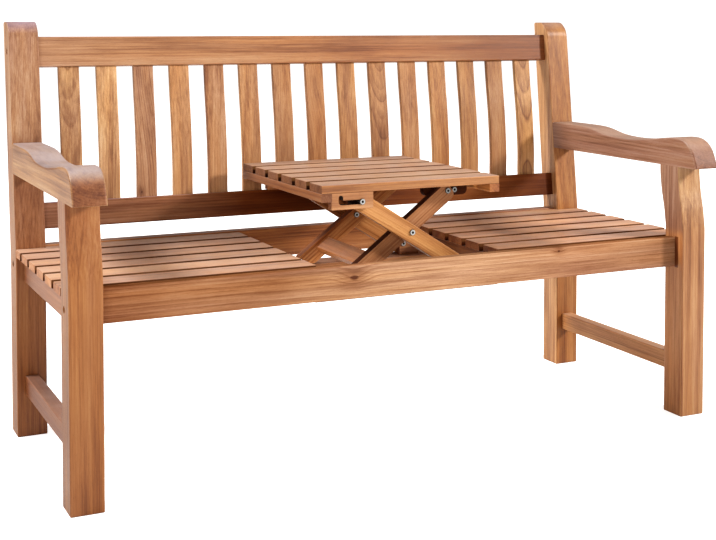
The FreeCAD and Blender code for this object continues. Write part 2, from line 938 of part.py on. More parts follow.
# the rails that the sliding feet stand on, and the lower pivot blocks on them
rails = []
blocks = []
lower_bolts = []
for rear in (False, True):
    a, b = layer(70.5, 138, rear)
    rails.append(
        ease(
            box(-S["well"], a - 305, S["base_top"] - S["base_thick"], 2 * S["well"], b - a, S["base_thick"]),
            1.5, along("x"),
        )
    )
    a, b = layer(99, 115, rear)
    block = ease(box(135, a - 305, S["base_top"], 51, b - a, 37), 1.5, along("y"))
    blocks.append(cut(block, [cyl(LOW[0], a - 306, LOW[1], "y", S["bolt_bore"] / 2, b - a + 2)]))
    if rear:
        lower_bolts.append(bolt(LOW[0], a, layer(76, 98, True)[1] + 0.3, LOW[1]))
    else:
        lower_bolts.append(bolt(LOW[0], 76 - 0.3, b, LOW[1]))
node(group(rails), "table_base_rails")
node(group(blocks), "lower_pivot_blocks")
node(group(lower_bolts), "lower_pivot_bolts")

# the table top
under = S["table_top"] - S["slat_thick"]
for i in range(6):
    s = ease(
        box(-S["table_half"], depth(S["slat_front"] + i * S["slat_pitch"]), under,
            2 * S["table_half"], S["slat_wide"], S["slat_thick"]),
        S["ease_slat"], every,
    )
    node(s, "table_slat_%d" % (i + 1))
deep = 5 * S["slat_pitch"] + S["slat_wide"]
for side_name, sign in SIDES:
    w = S["end_bearer"]
    straight(
        side_x(sign, S["table_half"] - w, w), depth(S["slat_front"]), under - S["slat_thick"],
        w, deep, S["slat_thick"], "y", [], "table_end_bearer_" + side_name, radius=1.5,
    )

centre_bolts, spacers, pins, top_bolts = [], [], [], []
for word, rear in (("front", False), ("rear", True)):
    # slotted block
    a, b = layer(57, 75, rear)
    left = S["table_half"] - S["end_bearer"]
    block = ease(box(-left, a - 305, S["block_low"], left - 94, b - a, under - S["block_low"]), 1.5, along("y"))
    r = S["slot_high"] / 2
    end = SLOT_END - 1.2
    run_slot = [
        cyl(PIN[0], a - 306, SLOT_Z, "y", r, b - a + 2),
        box(end - r, a - 306, SLOT_Z - r, PIN[0] - end + r, b - a + 2, S["slot_high"]),
        cyl(end, a - 306, SLOT_Z + 10.5, "y", r, b - a + 2),
        box(end - r, a - 306, SLOT_Z, S["slot_high"], b - a + 2, 10.5),
    ]

    def elbow(e, x=(end - r).value, z=(SLOT_Z - r).value):
        bb = e.BoundBox
        return along("y")(e) and abs(bb.XMin - x) < 1e-3 and abs(bb.ZMin - z) < 1e-3

    node(cut(block, [ease(fuse(run_slot), 7.6, elbow)]), "slotted_block_" + word)

    # pivot block
    a, b = layer(139, 157, rear)

    def low_corner(e, z=S["pivot_low"].value):
        bb = e.BoundBox
        return along("y")(e) and abs(bb.ZMin - z) < 1e-4

    block = ease(box(70, a - 305, S["pivot_low"], 110, b - a, under - S["pivot_low"]), 12, low_corner)
    holes = [
        cyl(TOP[0], a - 306, TOP[1], "y", S["bolt_bore"] / 2, b - a + 2),
        cyl(147, a - 306, 554.0, "y", S["bolt_bore"] / 2, b - a + 2),
    ]
    node(cut(block, holes), "pivot_block_" + word)

    # crossed legs
    a, b = layer(76, 98, rear)
    start = line_point(LOW, 0, -7.082, TILT_A, True)
    leg_body(
        "pivoting_leg_" + word, 309.094, (19, 18.9, 14, 15), [LOW, CENTRE, PIN],
        TILT_A, start, a, True,
    )
    pins.append(
        bolt(PIN[0], 57 - 0.4, 98, PIN[1]) if not rear
        else bolt(PIN[0], layer(76, 98, True)[0], layer(57, 75, True)[1] + 0.4, PIN[1])
    )
    c, d = layer(116, 138, rear)
    leg_body(
        "sliding_leg_" + word, 143.071 + 135.331, (19, 18.9, 11, 14), [CENTRE, TOP],
        TILT_B, FOOT, c, False, TOE,
    )
    if rear:
        centre_bolts.append(bolt(CENTRE[0], c - 0.3, b, CENTRE[1]))
        tube = (d + 0.3, a)
        top_bolts.append(bolt(TOP[0], layer(139, 157, True)[0], d + 0.3, TOP[1]))
        top_bolts.append(bolt(147, layer(139, 157, True)[0], layer(139, 157, True)[1], 554.0))
    else:
        centre_bolts.append(bolt(CENTRE[0], a, d + 0.3, CENTRE[1]))
        tube = (b, c - 0.3)
        top_bolts.append(bolt(TOP[0], c - 0.3, 157, TOP[1]))
        top_bolts.append(bolt(147, 139, 157, 554.0))
    sleeve = cyl(CENTRE[0], tube[0] - 305, CENTRE[1], "y", 8, tube[1] - tube[0])
    spacers.append(cut(sleeve, [cyl(CENTRE[0], tube[0] - 306, CENTRE[1], "y", S["bolt_bore"] / 2, tube[1] - tube[0] + 2)]))

node(group(pins), "slot_pins")
node(group(centre_bolts), "centre_pivot_bolts")
node(group(spacers), "centre_spacers")
node(group(top_bolts), "pivot_block_bolts")

# the batten that ties the two sliding legs near their feet
a = layer(116, 138, False)[1]
b = layer(116, 138, True)[0]
batten = doc.addObject("Part::Box", name("Batten"))
batten.Length = 38
batten.Width = b - a
batten.Height = 18
low = line_point(FOOT, 19, -9, TILT_B, False)
batten.Placement = Placement(Vector(low[0], a - 305, low[1]), Rotation(Vector(0, 1, 0), -TILT_B))
doc.recompute()


def lengthways(e):
    return along("y")(e)


node(ease(batten, 2, lengthways), "sliding_leg_batten")

node(group([frame_bolt(sign, y, z) for _, sign in SIDES for _, y, z in BOLTS]), "frame_bolts")

# --------------------------------------------------------------- check and write
doc.recompute()
bad = [o.Name for o in doc.Objects if "Invalid" in o.State or "Error" in o.State]
if bad:
    raise RuntimeError("failed features: " + ", ".join(bad))
labels = [o.Label for o in nodes]
if len(set(labels)) != len(labels) or len(labels) > 60:
    raise RuntimeError("labels: %d" % len(labels))
for o in nodes:
    if o.Shape.isNull() or not o.Shape.isValid() or not o.Shape.Solids:
        raise RuntimeError("bad shape: " + o.Label)
os.makedirs("parts", exist_ok=True)
for o in nodes:
    o.Shape.exportStep(os.path.join("parts", o.Label + ".step"))
low = [min(o.Shape.BoundBox.XMin for o in nodes), min(o.Shape.BoundBox.YMin for o in nodes), min(o.Shape.BoundBox.ZMin for o in nodes)]
high = [max(o.Shape.BoundBox.XMax for o in nodes), max(o.Shape.BoundBox.YMax for o in nodes), max(o.Shape.BoundBox.ZMax for o in nodes)]
print("nodes", len(nodes), "low", low, "high", high)
for o in nodes:
    print(o.Label, "solids", len(o.Shape.Solids), "volume", round(o.Shape.Volume))
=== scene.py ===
import math
import random

import bpy
from mathutils import Euler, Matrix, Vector


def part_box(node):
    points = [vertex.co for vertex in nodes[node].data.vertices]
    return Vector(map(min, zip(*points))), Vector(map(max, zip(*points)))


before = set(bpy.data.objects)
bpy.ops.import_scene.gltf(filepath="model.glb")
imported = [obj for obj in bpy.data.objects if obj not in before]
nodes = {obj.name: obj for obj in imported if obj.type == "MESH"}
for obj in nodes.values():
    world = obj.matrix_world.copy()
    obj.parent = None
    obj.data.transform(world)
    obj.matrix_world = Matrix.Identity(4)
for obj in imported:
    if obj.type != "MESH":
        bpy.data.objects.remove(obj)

scene = bpy.context.scene
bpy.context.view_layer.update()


# ---------------------------------------------------------------- node helpers
class Tree:
    """A short hand for a material's nodes. Every call returns an output socket."""

    def __init__(self, material):
        material.use_nodes = True
        self.tree = material.node_tree
        self.tree.nodes.clear()
        self.at = 0

    def add(self, kind, **settings):
        n = self.tree.nodes.new(kind)
        n.location = (220 * (self.at % 12), -260 * (self.at // 12))
        self.at += 1
        for k, v in settings.items():
            setattr(n, k, v)
        return n

    def put(self, socket, value):
        if value is None:
            return
        if isinstance(value, bpy.types.NodeSocket):
            self.tree.links.new(value, socket)
        else:
            socket.default_value = value

    def math(self, op, a, b=None, c=None, clamp=False):
        n = self.add("ShaderNodeMath", operation=op, use_clamp=clamp)
        for i, v in enumerate((a, b, c)):
            self.put(n.inputs[i], v)
        return n.outputs[0]

    def vec(self, op, a, b=None, scale=None):
        n = self.add("ShaderNodeVectorMath", operation=op)
        self.put(n.inputs[0], a)
        if b is not None:
            self.put(n.inputs[1], b)
        if scale is not None:
            self.put(n.inputs["Scale"], scale)
        return n.outputs["Value"] if op in ("DOT_PRODUCT", "LENGTH", "DISTANCE") else n.outputs[0]

    def xyz(self, x, y, z):
        n = self.add("ShaderNodeCombineXYZ")
        for i, v in enumerate((x, y, z)):
            self.put(n.inputs[i], v)
        return n.outputs[0]

    def noise(self, vector, detail=2.0, rough=0.5, distortion=0.0):
        n = self.add("ShaderNodeTexNoise", noise_dimensions="3D")
        self.put(n.inputs["Vector"], vector)
        n.inputs["Scale"].default_value = 1.0
        n.inputs["Detail"].default_value = detail
        n.inputs["Roughness"].default_value = rough
        n.inputs["Distortion"].default_value = distortion
        return n.outputs[0], n.outputs[1]

    def white(self, w):
        n = self.add("ShaderNodeTexWhiteNoise", noise_dimensions="1D")
        self.put(n.inputs["W"], w)
        return n.outputs["Value"], n.outputs["Color"]

    def smooth(self, value, low, high, out_low=0.0, out_high=1.0):
        n = self.add("ShaderNodeMapRange", interpolation_type="SMOOTHSTEP")
        self.put(n.inputs["Value"], value)
        for k, v in (("From Min", low), ("From Max", high), ("To Min", out_low), ("To Max", out_high)):
            n.inputs[k].default_value = v
        return n.outputs[0]

    def ramp(self, value, stops, interpolation="LINEAR"):
        n = self.add("ShaderNodeValToRGB")
        n.color_ramp.interpolation = interpolation
        e = n.color_ramp.elements
        while len(e) < len(stops):
            e.new(0.5)
        for i, (p, c) in enumerate(stops):
            e[i].position = p
            e[i].color = (*c, 1.0) if len(c) == 3 else c
        self.put(n.inputs[0], value)
        return n.outputs[0]

    def mix(self, factor, a, b, blend="MIX"):
        n = self.add("ShaderNodeMix", data_type="RGBA", blend_type=blend)
        n.clamp_factor = True
        self.put(n.inputs[0], factor)
        for i, v in ((6, a), (7, b)):
            self.put(n.inputs[i], (*v, 1.0) if isinstance(v, tuple) and len(v) == 3 else v)
        return n.outputs[2]

    def split(self, vector):
        n = self.add("ShaderNodeSeparateXYZ")
        self.put(n.inputs[0], vector)
        return n.outputs[0], n.outputs[1], n.outputs[2]


# ------------------------------------------------------------------------ teak
DEEP = (0.105, 0.030, 0.010)
BROWN = (0.270, 0.092, 0.027)
WARM = (0.480, 0.200, 0.064)
PALE = (0.660, 0.345, 0.135)


def teak(name, s):
    """Sawn and oiled teak as a solid texture: growth rings about a pith line, streaks, fibres and pores along the grain."""
    m = bpy.data.materials.new(name)
    t = Tree(m)
    tc = t.add("ShaderNodeTexCoord")
    q = t.vec("SCALE", tc.outputs["Object"], scale=1000.0)
    o = tuple(s["origin"])
    rel = t.vec("SUBTRACT", q, o)
    u = t.vec("DOT_PRODUCT", rel, tuple(s["U"]))
    v = t.vec("DOT_PRODUCT", rel, tuple(s["V"]))
    w = t.vec("DOT_PRODUCT", rel, tuple(s["W"]))
    seed = float(s["seed"])
    index = None
    if s.get("rows"):
        axis, start, pitch = s["rows"]
        along = t.vec("DOT_PRODUCT", q, tuple(axis))
        index = t.math("FLOOR", t.math("DIVIDE", t.math("SUBTRACT", along, start), pitch))
        if s.get("recentre", True):
            middle = t.math("MULTIPLY_ADD", index, pitch, start + pitch / 2)
            shift = t.math("SUBTRACT", along, middle)
            if s["recentre_on"] == "v":
                v = shift
            else:
                w = shift
        board, board_rgb = t.white(t.math("ADD", index, seed))
        offset = t.math("MULTIPLY", t.math("ADD", index, seed), 13.37)
    else:
        board = None
        offset = seed * 13.37
    su, sv, sw = s["slope"]
    # pith line wander along the board
    wander = t.noise(t.xyz(t.math("MULTIPLY_ADD", u, 1 / 520.0, offset if index is None else 0.0), offset if index is not None else 3.1, 7.7), 1.0, 0.4)[1]
    wx, wy, wz = t.split(t.vec("SUBTRACT", wander, (0.5, 0.5, 0.5)))
    ripple = t.noise(t.xyz(t.math("MULTIPLY_ADD", u, 1 / 150.0, 4.4), t.math("MULTIPLY_ADD", v, 1 / 45.0, offset), t.math("MULTIPLY", w, 1 / 45.0)), 2.0, 0.5)[1]
    rx, ry, rz = t.split(t.vec("SUBTRACT", ripple, (0.5, 0.5, 0.5)))
    wave = float(s["wave"])
    pv, pw = s["pith"]
    if index is not None:
        # each board of a row is sawn from another part of the log
        br, bg, bb = t.split(board_rgb)
        pv = t.math("MULTIPLY_ADD", br, 160.0, -80.0)
        pw = t.math("MULTIPLY_ADD", bg, -90.0, -25.0)
        vv = t.math("SUBTRACT", v, pv)
        ww = t.math("SUBTRACT", w, pw)
    else:
        vv = t.math("SUBTRACT", v, float(pv))
        ww = t.math("SUBTRACT", w, float(pw))
    vv = t.math("ADD", t.math("MULTIPLY_ADD", u, sv, vv), t.math("MULTIPLY_ADD", wx, wave * 2.2, t.math("MULTIPLY", rx, wave)))
    ww = t.math("ADD", t.math("MULTIPLY_ADD", u, sw, ww), t.math("MULTIPLY_ADD", wy, wave * 3.0, t.math("MULTIPLY", ry, wave)))
    radius = t.math("SQRT", t.math("ADD", t.math("MULTIPLY", vv, vv), t.math("MULTIPLY", ww, ww)))
    # knots push the rings aside and darken the middle
    knot_dark = None
    for ku, kv, kr in s.get("knots", ()):
        du = t.math("DIVIDE", t.math("SUBTRACT", u, float(ku)), 1.7)
        dv = t.math("SUBTRACT", v, float(kv))
        d2 = t.math("ADD", t.math("MULTIPLY", du, du), t.math("MULTIPLY", dv, dv))
        wobble = t.math("MULTIPLY_ADD", rz, kr * 1.2, t.math("SQRT", d2))
        near = t.math("EXPONENT", t.math("DIVIDE", t.math("MULTIPLY", wobble, wobble), -6.0 * kr * kr))
        radius = t.math("MULTIPLY_ADD", near, kr * 1.5, radius)
        core = t.math("EXPONENT", t.math("DIVIDE", t.math("MULTIPLY", wobble, wobble), -0.55 * kr * kr))
        halo = t.math("MULTIPLY", near, 0.35)
        both = t.math("MAXIMUM", core, halo)
        knot_dark = both if knot_dark is None else t.math("MAXIMUM", knot_dark, both)
    phase = t.math("ADD", t.math("DIVIDE", radius, float(s["ring"])), t.math("MULTIPLY", rz, 0.55))
    age = t.math("FLOOR", phase)
    part = t.math("FRACT", phase)
    ring_power = t.white(t.math("ADD", age, seed * 3.0))[0]
    late = t.ramp(part, [(0.0, (0.55,) * 3), (0.10, (0.0,) * 3), (0.45, (0.12,) * 3), (0.86, (0.55,) * 3), (0.96, (1.0,) * 3), (1.0, (0.62,) * 3)], "EASE")
    late = t.math("MULTIPLY", late, t.math("MULTIPLY_ADD", ring_power, 0.8, 0.2))
    # wide bands of tone that follow the rings
    bands = t.noise(t.xyz(t.math("MULTIPLY", radius, 1 / 21.0), t.math("MULTIPLY_ADD", u, 1 / 1500.0, offset), 2.2), 2.0, 0.5)[0]
    # streaks and fibres along the grain
    s1 = t.noise(t.xyz(t.math("MULTIPLY_ADD", u, 1 / 420.0, 1.3), t.math("MULTIPLY_ADD", v, 1 / 11.0, offset), t.math("MULTIPLY", w, 1 / 11.0)), 3.0, 0.55)[0]
    sm = t.noise(t.xyz(t.math("MULTIPLY_ADD", u, 1 / 230.0, 3.9), t.math("MULTIPLY_ADD", v, 1 / 5.2, offset), t.math("MULTIPLY", w, 1 / 5.2)), 2.0, 0.55)[0]
    s2 = t.noise(t.xyz(t.math("MULTIPLY_ADD", u, 1 / 95.0, 6.1), t.math("MULTIPLY_ADD", v, 1 / 2.3, offset), t.math("MULTIPLY", w, 1 / 2.3)), 3.0, 0.6)[0]
    s3 = t.noise(t.xyz(t.math("MULTIPLY_ADD", u, 1 / 22.0, 2.7), t.math("MULTIPLY_ADD", v, 1 / 0.5, offset), t.math("MULTIPLY", w, 1 / 0.5)), 2.0, 0.6)[0]
    blot = t.noise(t.xyz(t.math("MULTIPLY_ADD", u, 1 / 260.0, 9.2), t.math("MULTIPLY_ADD", v, 1 / 60.0, offset), t.math("MULTIPLY", w, 1 / 60.0)), 2.0, 0.5)[0]
    c = float(s["contrast"])
    tone = t.math("MULTIPLY_ADD", s1, 0.55 * c, 0.56 - 0.275 * c + float(s["tone"]))
    tone = t.math("MULTIPLY_ADD", sm, 0.50 * c, t.math("SUBTRACT", tone, 0.25 * c))
    tone = t.math("MULTIPLY_ADD", s2, 0.50 * c, t.math("SUBTRACT", tone, 0.25 * c))
    tone = t.math("MULTIPLY_ADD", s3, 0.34, t.math("SUBTRACT", tone, 0.17))
    tone = t.math("MULTIPLY_ADD", bands, 0.66 * c, t.math("SUBTRACT", tone, 0.33 * c))
    tone = t.math("MULTIPLY_ADD", blot, 0.56 * c, t.math("SUBTRACT", tone, 0.28 * c))
    tone = t.math("MULTIPLY_ADD", late, -float(s["line"]), tone)
    if board is not None:
        tone = t.math("MULTIPLY_ADD", board, 0.16, t.math("SUBTRACT", tone, 0.08))
    if knot_dark is not None:
        tone = t.math("MULTIPLY_ADD", knot_dark, -0.75, tone)
    colour = t.ramp(tone, [(0.0, DEEP), (0.30, BROWN), (0.58, WARM), (0.95, PALE)], "LINEAR")
    # orange heart and pinkish patches
    hue = t.noise(t.xyz(t.math("MULTIPLY_ADD", u, 1 / 700.0, 5.5), t.math("MULTIPLY_ADD", v, 1 / 38.0, offset), t.math("MULTIPLY", w, 1 / 38.0)), 2.0, 0.5)[0]
    tint = t.ramp(hue, [(0.25, (1.05, 0.98, 0.84)), (0.5, (1.0, 1.0, 1.0)), (0.75, (0.97, 0.98, 1.14))])
    colour = t.mix(1.0, colour, tint, "MULTIPLY")
    colour = t.mix(1.0, colour, tuple(s["tint"]), "MULTIPLY")
    # open pores, short dark dashes along the grain
    pore = t.noise(t.xyz(t.math("MULTIPLY_ADD", u, 1 / 7.5, 8.8), t.math("MULTIPLY_ADD", v, 1 / 0.42, offset), t.math("MULTIPLY", w, 1 / 0.42)), 1.0, 0.5)[0]
    pore = t.smooth(pore, 0.63, 0.74)
    colour = t.mix(t.math("MULTIPLY", pore, 0.42), colour, DEEP)
    fleck = t.noise(t.xyz(t.math("MULTIPLY_ADD", u, 1 / 26.0, 1.8), t.math("MULTIPLY_ADD", v, 1 / 1.5, offset), t.math("MULTIPLY", w, 1 / 1.5)), 1.0, 0.5)[0]
    colour = t.mix(t.smooth(fleck, 0.60, 0.74, 0.0, 0.28), colour, BROWN)
    # faces cut across the grain soak up more oil
    n_u = t.math("ABSOLUTE", t.vec("DOT_PRODUCT", tc.outputs["Normal"], tuple(s["U"])))
    end = t.smooth(n_u, 0.55, 0.93)
    colour = t.mix(t.math("MULTIPLY", end, float(s.get("end", 0.75))), colour, t.mix(1.0, colour, tuple(s.get("end_tint", (0.66, 0.55, 0.50))), "MULTIPLY"))
    # sun and rain have bleached what faces up
    up = t.smooth(t.vec("DOT_PRODUCT", tc.outputs["Normal"], (0.0, 0.0, 1.0)), 0.35, 0.95)
    patch = t.smooth(t.noise(t.vec("SCALE", rel, scale=1 / 55.0), 3.0, 0.6)[0], 0.25, 0.75, 0.55, 1.0)
    colour = t.mix(t.math("MULTIPLY", t.math("MULTIPLY", up, patch), float(s["bleach"])), colour, t.mix(0.75, colour, (0.62, 0.50, 0.45)))
    shine = float(s.get("shine", 0.38))
    # painted shade on the slat sides that face into the gaps between slats
    if s.get("gap"):
        n_v = t.vec("DOT_PRODUCT", tc.outputs["Normal"], tuple(s["V"]))
        for facing, depth in zip((-1.0, 1.0), s["gap"]):
            if depth:
                side = t.smooth(t.math("MULTIPLY", n_v, facing), 0.25, 0.8)
                if s.get("deep_gap"):
                    # light reaches only the upper half of the gap
                    top, dark = s["deep_gap"]
                    level = t.smooth(w, -1.5, 1.5, 1.0, top)
                    shine = t.math("MULTIPLY", shine, t.math("MULTIPLY_ADD", side, -0.85, 1.0))
                    colour = t.mix(t.math("MULTIPLY", t.math("MULTIPLY", side, level), depth), colour, t.mix(1.0, colour, dark, "MULTIPLY"))
                else:
                    colour = t.mix(t.math("MULTIPLY", side, depth), colour, t.mix(1.0, colour, (0.36, 0.25, 0.19), "MULTIPLY"))
    for axis, stops, *toward in s.get("painted_shading", ()):
        # painted light and shade: a slow change of brightness along one axis, in millimetres, standing in for shadows
        # and light falloff; with a direction given, only on faces turned that way
        share_of = t.smooth(t.vec("DOT_PRODUCT", tc.outputs["Normal"], toward[0]), 0.2, 0.5) if toward else 1.0
        place = t.vec("DOT_PRODUCT", q, tuple(axis))
        low, high = stops[0][0], stops[-1][0]
        share = t.math("DIVIDE", t.math("SUBTRACT", place, float(low)), float(high - low), clamp=True)
        colour = t.mix(share_of, colour, t.ramp(share, [((at - low) / (high - low), c) for at, c in stops]), "MULTIPLY")
    # painted light and shade: faces turned one way are made lighter or darker, standing in for how the light falls on
    # them
    for facing, c, *above in s.get("faces", ()):
        n_f = t.smooth(t.vec("DOT_PRODUCT", tc.outputs["Normal"], tuple(facing)), 0.6, 0.9)
        if above:
            # only the part of the face above a height
            n_f = t.math("MULTIPLY", n_f, t.smooth(t.split(q)[2], *above[0]))
        colour = t.mix(n_f, colour, t.mix(1.0, colour, tuple(c), "MULTIPLY"))
    if s.get("window"):
        # painted shade on the part of a face that lies behind a slot, and likewise inside a slot and beside the front
        # rail's end
        (x0, x1), (z0, z1), facing, dark = s["window"]
        qx, qy, qz = t.split(q)
        qx = qy if s.get("window_along") == "Y" else qx
        inside = t.math("MULTIPLY", t.math("MULTIPLY", t.smooth(qx, x0 - 2, x0), t.smooth(qx, x1, x1 + 2, 1.0, 0.0)), t.math("MULTIPLY", t.smooth(qz, z0 - 1, z0), t.smooth(qz, z1, z1 + 1, 1.0, 0.0)))
        n_w = t.vec("DOT_PRODUCT", tc.outputs["Normal"], tuple(facing))
        if s.get("window_inner"):
            n_w = t.math("SUBTRACT", 1.0, t.math("ABSOLUTE", n_w))
        if not s.get("window_any"):
            inside = t.math("MULTIPLY", inside, t.smooth(n_w, 0.6, 0.9))
        colour = t.mix(inside, colour, t.mix(1.0, colour, dark, "MULTIPLY"))
    # long edges rubbed lighter
    if s.get("half"):
        hv, hw = s["half"]
        ev = t.math("SUBTRACT", float(hv), t.math("ABSOLUTE", v))
        ew = t.math("SUBTRACT", float(hw), t.math("ABSOLUTE", w))
        e = t.math("ADD", t.math("MAXIMUM", ev, 0.0), t.math("MAXIMUM", ew, 0.0))
        e = t.math("MULTIPLY_ADD", t.math("SUBTRACT", s1, 0.5), 3.0, e)
        worn = t.smooth(e, 1.2, 4.2, 1.0, 0.0)
        colour = t.mix(t.math("MULTIPLY", worn, 0.30), colour, t.mix(1.0, colour, (1.28, 1.24, 1.25), "MULTIPLY"))
    rough = t.math("MULTIPLY_ADD", s2, 0.16, float(s.get("rough", 0.40)) - 0.08)
    rough = t.math("MULTIPLY_ADD", pore, 0.18, rough)
    rough = t.math("MULTIPLY_ADD", end, 0.14, rough)
    height = t.math("MULTIPLY_ADD", s3, 0.5, t.math("MULTIPLY", s2, 0.35))
    height = t.math("MULTIPLY_ADD", late, 0.22, height)
    height = t.math("MULTIPLY_ADD", pore, -0.8, height)
    bump = t.add("ShaderNodeBump")
    bump.inputs["Strength"].default_value = 0.35
    bump.inputs["Distance"].default_value = 0.00045
    t.put(bump.inputs["Height"], height)
    b = t.add("ShaderNodeBsdfPrincipled")
    t.put(b.inputs["Base Color"], colour)
    t.put(b.inputs["Roughness"], rough)
    t.put(b.inputs["Normal"], bump.outputs[0])
    b.inputs["IOR"].default_value = 1.5
    if isinstance(shine, float):
        b.inputs["Specular IOR Level"].default_value = shine
    else:
        t.put(b.inputs["Specular IOR Level"], shine)
    out = t.add("ShaderNodeOutputMaterial")
    t.tree.links.new(b.outputs[0], out.inputs["Surface"])
    return m


# ----------------------------------------------------------------------- steel
def steel(name, seed, axes, lying="y"):
    """Turned steel; axes are the bolts' centre lines: the socket round each is made near black, and the area past each
    head's rim is painted dark as shade.
    """
    m = bpy.data.materials.new(name)
    t = Tree(m)
    tc = t.add("ShaderNodeTexCoord")
    q = t.vec("SCALE", tc.outputs["Object"], scale=1000.0)
    turned = t.noise(t.vec("MULTIPLY", q, (1.4, 0.1, 1.4)), 3.0, 0.6)[0]
    fine = t.noise(t.vec("ADD", t.vec("MULTIPLY", q, (3.0, 3.0, 3.0)), (seed, seed, seed)), 2.0, 0.5)[0]
    stain = t.noise(t.vec("SCALE", q, scale=0.22), 3.0, 0.6)[0]
    # painted shade: the pivot block bolts under the table are made darker
    light = 0.45 if name.endswith("pivot_block_bolts") else 0.82
    base = t.ramp(fine, [(0.25, (0.52 * light, 0.50 * light, 0.47 * light)), (0.75, (0.78 * light, 0.76 * light, 0.72 * light))])
    base = t.mix(t.smooth(stain, 0.55, 0.78, 0.0, 0.4), base, (0.42, 0.38, 0.33))
    px, py, pz = t.split(q)
    first = px if lying == "y" else py
    nearest = None
    for a, c in axes:
        d = t.math("ADD", t.math("POWER", t.math("ABSOLUTE", t.math("SUBTRACT", first, a)), 2.0), t.math("POWER", t.math("ABSOLUTE", t.math("SUBTRACT", pz, c)), 2.0))
        nearest = d if nearest is None else t.math("MINIMUM", nearest, d)
    away = t.math("SQRT", nearest)
    # socket round each centre line made near black
    base = t.mix(t.smooth(away, 2.55, 3.05, 0.97, 0.0), base, (0.012, 0.010, 0.009))
    # painted shade: a dark outline past the rim of each head
    base = t.mix(t.smooth(away, 4.9, 6.3, 0.0, 0.92), base, (0.07, 0.055, 0.045))
    rough = t.math("MULTIPLY_ADD", turned, 0.22, 0.26)
    bump = t.add("ShaderNodeBump")
    bump.inputs["Strength"].default_value = 0.15
    bump.inputs["Distance"].default_value = 0.0001
    t.put(bump.inputs["Height"], turned)
    b = t.add("ShaderNodeBsdfPrincipled")
    t.put(b.inputs["Base Color"], base)
    t.put(b.inputs["Roughness"], rough)
    t.put(b.inputs["Normal"], bump.outputs[0])
    b.inputs["Metallic"].default_value = 1.0
    out = t.add("ShaderNodeOutputMaterial")
    t.tree.links.new(b.outputs[0], out.inputs["Surface"])
    return m


# --------------------------------------------------------- each board's own log
X, Y, Z = (1, 0, 0), (0, 1, 0), (0, 0, 1)


def board(node, U, V, W, **more):
    """The grain of a node: U along it, V across its wide face, W through it."""
    rng = random.Random("teak " + node)
    low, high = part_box(node)
    mid = [500.0 * (a + b) for a, b in zip(low, high)]
    half = []
    for axis in (V, W):
        half.append(sum(abs(axis[i]) * (high[i] - low[i]) * 500.0 for i in range(3)))
    side = rng.choice((-1, 1))
    s = {
        "U": U, "V": V, "W": W,
        "origin": mid,
        "seed": rng.uniform(1, 60),
        "pith": (side * rng.uniform(55, 130), rng.uniform(25, 70)),
        "slope": (0.0, rng.uniform(-0.008, 0.008), rng.uniform(-0.02, 0.02)),
        "wave": rng.uniform(1.0, 2.2),
        "ring": rng.uniform(4.2, 7.0),
        "line": 0.17,
        "contrast": rng.uniform(0.75, 1.0),
        "tone": rng.uniform(-0.03, 0.03),
        "tint": (1.0, 1.0, 1.0),
        "bleach": 0.35,
        "half": tuple(half),
    }
    s.update(more)
    return s
